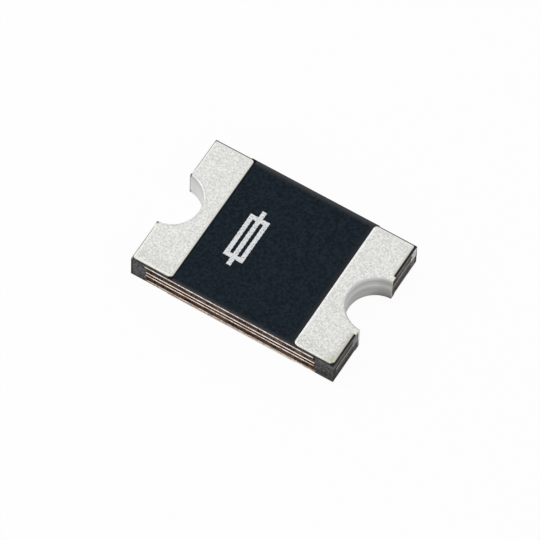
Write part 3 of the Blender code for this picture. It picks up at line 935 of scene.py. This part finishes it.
ink, tree, shader, place = new_material("marking_ink", metallic=0, roughness=0.6, specular=0.3)
cover = use_group(tree, grain, place, Size=PINHOLE_SIZE, Contrast=PINHOLE_CONTRAST)
full = ramp_between(tree, cover, *PINHOLE_SPAN)
tree.links.new(blend_colours(tree, full, INK_THIN, INK_PALE), shader.inputs["Base Color"])
rough_surface(tree, shader, cover, INK_BUMP)
finishes["marking"] = ink

# %% [markdown]
# ### Foil edges
#
# The electrode foils are copper with a nickel face. Only their sawn edges show: pinkish to nearly
# white, brighter and duller in turn where the saw's teeth dragged the metal. At the ends they are
# tarnished. One function makes all four from a table of dull, bright and tarnished colours, and
# the lowest foil also fades towards the right.

# %% Material of a foil
END_FACE_SPAN = (HALF_LENGTH - 0.01, HALF_LENGTH - 0.005)
COARSE_STREAKS = 0.13
FINE_STREAKS = 0.045
DRAG_SPAN = (0.22, 0.78)
FOIL_MARKS = 0.008
FOIL_BUMP = 0.001


def foil_material(name, dull, bright, tarnished, fade_to_right=1.0):
    """Metal that the saw dragged, and tarnished at the ends of the part."""
    made, tree, shader, place = new_material(name, metallic=0.75, roughness=0.42)
    coarse = use_group(tree, streaks, place, Pitch=COARSE_STREAKS)
    fine = use_group(tree, streaks, place, Pitch=FINE_STREAKS)
    drag = math_node(tree, "MULTIPLY", math_node(tree, "ADD", coarse, fine), 0.5)
    sawn_edge_colour = blend_colours(tree, ramp_between(tree, drag, *DRAG_SPAN), dull, bright)
    along = split(tree, place)["X"]
    sawn_edge_colour = faded(tree, ramp_between(tree, along, *TO_RIGHT_SPAN), sawn_edge_colour, fade_to_right)
    at_end = ramp_between(tree, math_node(tree, "ABSOLUTE", along), *END_FACE_SPAN)
    tree.links.new(blend_colours(tree, at_end, sawn_edge_colour, tarnished), shader.inputs["Base Color"])
    marks = use_group(tree, saw_marks, place, Pitch=FOIL_MARKS)
    rough_surface(tree, shader, marks, FOIL_BUMP)
    return made


# %% The four foils
FOILS = {
    "outer_foil_top": ((0.60, 0.49, 0.44), (1.00, 0.93, 0.90), (0.14, 0.13, 0.13)),
    "inner_foil_upper": ((0.86, 0.66, 0.57), (1.00, 0.97, 0.93), (0.27, 0.24, 0.23)),
    "inner_foil_lower": ((0.56, 0.43, 0.36), (0.96, 0.84, 0.76), (0.035, 0.030, 0.027)),
    "outer_foil_bottom": ((0.38, 0.27, 0.20), (0.84, 0.70, 0.60), (0.07, 0.065, 0.06), 0.64),
}
for name, look in FOILS.items():
    finishes[name] = foil_material(name.split("_", 1)[1], *look)
print("Foils:", ", ".join(FOILS))

# %% [markdown]
# ### Polymer and resin
#
# Polymer and resin are sawn too, which leaves them rough. At the ends their cut face is a plain dark
# grey, lighter at the left than at the right. Between the foils it is dark brown, because the saw
# leaves copper dust there. Between the pads the top sheet is darkened further by painted shade below
# the mask, and the bottom sheet's tan resin is made pale by painted light from the white floor. Each
# part of a face has its own strength of grain, so its colour is grained before it is blended.

# %% Bare faces, and dusted faces with painted shade and light
PLAIN_GRAIN = 0.70
LEVEL_GRAIN = 0.60
DUST_AND_LIGHT_GRAIN = 0.95
LEVEL_SPAN = (0.3, 0.7)
FAR_END_GAIN = 1.08
CORNER_DARK = (0.030, 0.030, 0.021)
CORNER = ((-HALF_LENGTH, -HALF_WIDTH), (0.035, 0.035), 0.02)
DUST_REACH = 1.92
DUST_SOFTNESS = 0.02


def grained(tree, shade, colour, depth=PLAIN_GRAIN):
    """The same colour, darker and lighter by turns."""
    low = [channel * (1 - depth) for channel in colour]
    high = [channel * (1 + depth) for channel in colour]
    return blend_colours(tree, shade, low, high)


def end_and_bare_sides(tree, place, shade, marks, bare_left, bare_right, end_face):
    """The cut face without dust: the long sides beside the pads, and the right end."""
    axes = split(tree, place)
    to_right = ramp_between(tree, axes["X"], -HALF_LENGTH, HALF_LENGTH)
    sides = [grained(tree, shade, colour) for colour in (bare_left, bare_right)]
    bare = blend_colours(tree, to_right, *sides)
    end = grained(tree, ramp_between(tree, marks, *LEVEL_SPAN), end_face, LEVEL_GRAIN)
    end = faded(tree, ramp_between(tree, axes["Y"], -HALF_WIDTH, HALF_WIDTH), end, FAR_END_GAIN)
    bare = blend_colours(tree, ramp_between(tree, axes["X"], *END_FACE_SPAN), bare, end)
    return blend_colours(tree, patch_on(tree, place, *CORNER), bare, CORNER_DARK)


def dust_and_light_sides(tree, place, patchy, cut_face, dust_and_light_left, dust_and_light_right, dust_and_light_grain):
    """Copper dust over the long sides between the pads, with painted shade on the top sheet and
    painted light on the bottom sheet.
    """
    to_right = ramp_between(tree, split(tree, place)["X"], -HALF_LENGTH, HALF_LENGTH)
    sides = [grained(tree, patchy, colour, dust_and_light_grain) for colour in (dust_and_light_left, dust_and_light_right)]
    spread = use_group(tree, dust, place, Reach=DUST_REACH, Softness=DUST_SOFTNESS)
    return blend_colours(tree, spread, cut_face, blend_colours(tree, to_right, *sides))


# %% [markdown]
# On the right end face the saw smeared metal beside the notch and at the far corner, and two stains
# lie on the long side. The palest patches at the far corner are painted highlights. A table gives the
# middle, the reach and the colour of each patch.

# %% Smears and painted highlights
SPOT_SOFTNESS = 0.04
SMEARS_AND_HIGHLIGHTS = (
    ((HALF_LENGTH, 1.15, 0.60), (0.01, 0.28, 0.03), (0.27, 0.27, 0.27)),
    ((HALF_LENGTH, 1.15, 0.44), (0.01, 0.33, 0.025), (0.25, 0.22, 0.20)),
    ((HALF_LENGTH, -1.15, 0.44), (0.01, 0.33, 0.02), (0.155, 0.143, 0.135)),
    ((HALF_LENGTH, 1.20, 0.10), (0.01, 0.33, 0.035), (0.19, 0.188, 0.186)),
    # Painted highlights: the pale bluish and cream patches at the far corner.
    ((HALF_LENGTH, 1.50, 0.51), (0.01, 0.11, 0.07), (0.54, 0.58, 0.62)),
    ((HALF_LENGTH, 1.50, 0.62), (0.01, 0.11, 0.06), (0.84, 0.90, 0.97)),
    ((HALF_LENGTH, 1.46, 0.40), (0.01, 0.09, 0.06), (0.85, 0.86, 0.80)),
    ((HALF_LENGTH, 1.45, 0.16), (0.01, 0.08, 0.14), (0.165, 0.155, 0.150)),
    ((HALF_LENGTH, -0.77, 0.48), (0.01, 0.09, 0.13), (0.28, 0.27, 0.28)),
    ((HALF_LENGTH, -0.74, 0.12), (0.01, 0.07, 0.07), (0.13, 0.11, 0.11)),
    ((HALF_LENGTH, 0.78, 0.49), (0.01, 0.10, 0.07), (0.080, 0.060, 0.044)),
    ((HALF_LENGTH, 0.72, 0.32), (0.01, 0.05, 0.30), (0.080, 0.055, 0.036)),
    ((HALF_LENGTH, 0.70, 0.03), (0.01, 0.05, 0.04), (0.012, 0.010, 0.008)),
    ((HALF_LENGTH, 0.72, 0.12), (0.01, 0.06, 0.025), (0.17, 0.145, 0.115)),
    ((HALF_LENGTH, -0.77, 0.36), (0.01, 0.09, 0.03), (0.36, 0.35, 0.33)),
    ((HALF_LENGTH, -0.80, 0.08), (0.01, 0.07, 0.025), (0.15, 0.14, 0.13)),
    ((1.82, -HALF_WIDTH, 0.16), (0.06, 0.01, 0.030), (0.095, 0.050, 0.019)),
    ((0.62, -HALF_WIDTH, 0.14), (0.10, 0.01, 0.025), (0.030, 0.015, 0.011)),
)


def with_smears_and_highlights(tree, place, shade, cut_face):
    """Lays every smear and painted highlight over the cut face."""
    for middle, reach, colour in SMEARS_AND_HIGHLIGHTS:
        spot = patch_on(tree, place, middle, reach, SPOT_SOFTNESS)
        cut_face = blend_colours(tree, spot, cut_face, grained(tree, shade, colour))
    return cut_face


# %% [markdown]
# The bare margin round a pad is nearly black at the pad's foot and along the back, which is painted
# shade, and grey along the sawn edge, and at the left end a burr of tin covers it. It lies on the top
# sheet's flat face, so the height tells it from the cut face, and the distance from the outline
# shades it.

# %% Bare margin round the pads
# Painted shade: the margin is near black at the pad's foot and along the back.
MARGIN_SHADE = (0.014, 0.013, 0.009)
MARGIN_PALE = (0.085, 0.085, 0.078)
MARGIN_BACK_SHADE = (0.015, 0.015, 0.013)
MARGIN_BURR = (0.25, 0.25, 0.245)
MARGIN_SPAN = (-0.008, -0.030)
BACK_SPAN = (PAD_SIDE - 0.01, PAD_SIDE)
BURR_SPAN = (-PAD_END, -PAD_END - 0.008)
FLAT_FACE_SPAN = (laminate_high - 0.004, laminate_high - 0.002)


def with_margin(tree, place, cut_face):
    """Gives the top sheet's flat face its own colours."""
    axes = split(tree, place)
    inside_pad = use_group(tree, outline, place, "Inside Pad")
    to_saw = ramp_between(tree, inside_pad, *MARGIN_SPAN)
    margin = blend_colours(tree, to_saw, MARGIN_SHADE, MARGIN_PALE)
    margin = blend_colours(tree, ramp_between(tree, axes["Y"], *BACK_SPAN), margin, MARGIN_BACK_SHADE)
    margin = blend_colours(tree, ramp_between(tree, axes["X"], *BURR_SPAN), margin, MARGIN_BURR)
    return blend_colours(tree, ramp_between(tree, axes["Z"], *FLAT_FACE_SPAN), cut_face, margin)


# %% [markdown]
# All five layers share one function. Fine saw marks and fibres shade the bare faces, and larger
# clumps are added where dust lies. The table gives each layer its material's name, its bare colours
# at the left, the right and the end face, and its dusted colours at the left and the right, which on
# the top sheet hold painted shade and on the bottom sheet painted light from the floor.

# %% Material of a sawn layer
CUT_MARKS = 0.02
FIBRE_SIZE = 0.045
CLUMP_SIZE = 0.18
CUT_CONTRAST = 3.0
SHADE_SPAN = (0.3, 1.7)
PATCHY_SPAN = (0.75, 2.25)
CUT_BUMP = 0.002


def laminate_material(name, bare_colours, dust_and_light_colours, dust_and_light_grain=DUST_AND_LIGHT_GRAIN):
    """A sawn layer from its row of the table."""
    made, tree, shader, place = new_material(name, metallic=0, roughness=0.85, specular=0.1)
    marks = use_group(tree, saw_marks, place, Pitch=CUT_MARKS)
    fibres = use_group(tree, grain, place, Size=FIBRE_SIZE, Contrast=CUT_CONTRAST)
    clumps = use_group(tree, grain, place, Size=CLUMP_SIZE, Contrast=CUT_CONTRAST)
    both = math_node(tree, "ADD", marks, fibres)
    shade = ramp_between(tree, both, *SHADE_SPAN)
    patchy = ramp_between(tree, math_node(tree, "ADD", both, clumps), *PATCHY_SPAN)
    cut_face = end_and_bare_sides(tree, place, shade, marks, *bare_colours)
    cut_face = dust_and_light_sides(tree, place, patchy, cut_face, *dust_and_light_colours, dust_and_light_grain)
    colour = with_margin(tree, place, with_smears_and_highlights(tree, place, shade, cut_face))
    tree.links.new(colour, shader.inputs["Base Color"])
    rough_surface(tree, shader, shade, CUT_BUMP)
    return made


# %% The five sawn layers
LAYERS = {
    "ptc_chip_upper": (
        "polymer_upper",
        ((0.110, 0.110, 0.110), (0.086, 0.086, 0.087), (0.053, 0.050, 0.048)),
        ((0.062, 0.042, 0.032), (0.092, 0.062, 0.047)),
    ),
    "ptc_chip_lower": (
        "polymer_lower",
        ((0.092, 0.092, 0.092), (0.052, 0.051, 0.050), (0.043, 0.041, 0.039)),
        ((0.053, 0.027, 0.014), (0.064, 0.038, 0.025)),
    ),
    # Painted shade: the top sheet's dusted colours are near black below the mask.
    "prepreg_top": (
        "resin_top",
        ((0.100, 0.100, 0.100), (0.100, 0.105, 0.104), (0.160, 0.163, 0.163)),
        ((0.030, 0.022, 0.015), (0.034, 0.026, 0.020)),
    ),
    "prepreg_middle": (
        "resin_middle",
        ((0.100, 0.100, 0.100), (0.090, 0.086, 0.084), (0.048, 0.043, 0.040)),
        ((0.038, 0.013, 0.004), (0.038, 0.014, 0.004)),
    ),
    # Painted light: the bottom sheet's dusted colours are tan resin made pale by light from the white
    # floor.
    "prepreg_bottom": (
        "resin_bottom",
        ((0.070, 0.070, 0.070), (0.065, 0.064, 0.063), (0.085, 0.083, 0.082)),
        ((0.205, 0.145, 0.108), (0.86, 0.74, 0.66)),
        0.45,
    ),
}
for name, look in LAYERS.items():
    finishes[name] = laminate_material(*look)
print("Sawn layers:", ", ".join(LAYERS))

# %% [markdown]
# ### Copper
#
# Copper shows only where the saw cut through the plating of the notch, as a narrow strip: cream at
# the top, duller further down and dark at the foot. On the near side it is smeared with pale tin.
# The shades lie level, so ramps over the height hold them.

# %% Copper
COPPER_DULL = (0.72, 0.52, 0.42)
COPPER_BRIGHT = (0.95, 0.86, 0.79)
COPPER_TINT = (1.0, 0.95, 0.86)
TIN_SMEAR_TINT = (1.0, 0.985, 0.975)
STRIP_FAR = (
    (0.0, 0.02), (0.07, 0.05), (0.10, 0.34), (0.14, 0.50), (0.22, 0.37), (0.54, 0.43), (0.62, 0.78),
    (0.68, 0.88),
)
STRIP_NEAR = (
    (0.0, 0.04), (0.08, 0.12), (0.14, 0.40), (0.22, 0.40), (0.32, 0.62), (0.50, 0.78), (0.68, 0.66),
)
NEAR_SIDE_SPAN = (0.1, -0.1)
COPPER_STREAKS = 0.06
COPPER_BUMP = 0.001

copper, tree, shader, place = new_material("plated_copper", metallic=0.8, roughness=0.4)
drag = use_group(tree, streaks, place, Pitch=COPPER_STREAKS)
axes = split(tree, place)
copper_edge = blend_colours(tree, drag, COPPER_DULL, COPPER_BRIGHT)
far_shades = shade_profile(tree, axes["Z"], STRIP_FAR, COPPER_TINT)
copper_edge = vector_node(tree, "MULTIPLY", copper_edge, far_shades)
near_side = ramp_between(tree, axes["Y"], *NEAR_SIDE_SPAN)
tin_smear = shade_profile(tree, axes["Z"], STRIP_NEAR, TIN_SMEAR_TINT)
copper_edge = blend_colours(tree, near_side, copper_edge, tin_smear)
tree.links.new(copper_edge, shader.inputs["Base Color"])
rough_surface(tree, shader, drag, COPPER_BUMP)

# %% [markdown]
# ## Dressing
#
# Finishes could be handed out one by one, but each solid finds its own by its name in a table. What
# isn't in it is copper. The solids that the new pieces replace are dressed as well.

# %% Dress every solid and every new piece
dressed = [(node, finishes.get(name, copper)) for name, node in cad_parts.items()]
dressed += [(terminals["left"], tin), (terminals["right"], tin), (mark, ink)]
for piece, finish in dressed:
    piece.data.materials.clear()
    piece.data.materials.append(finish)
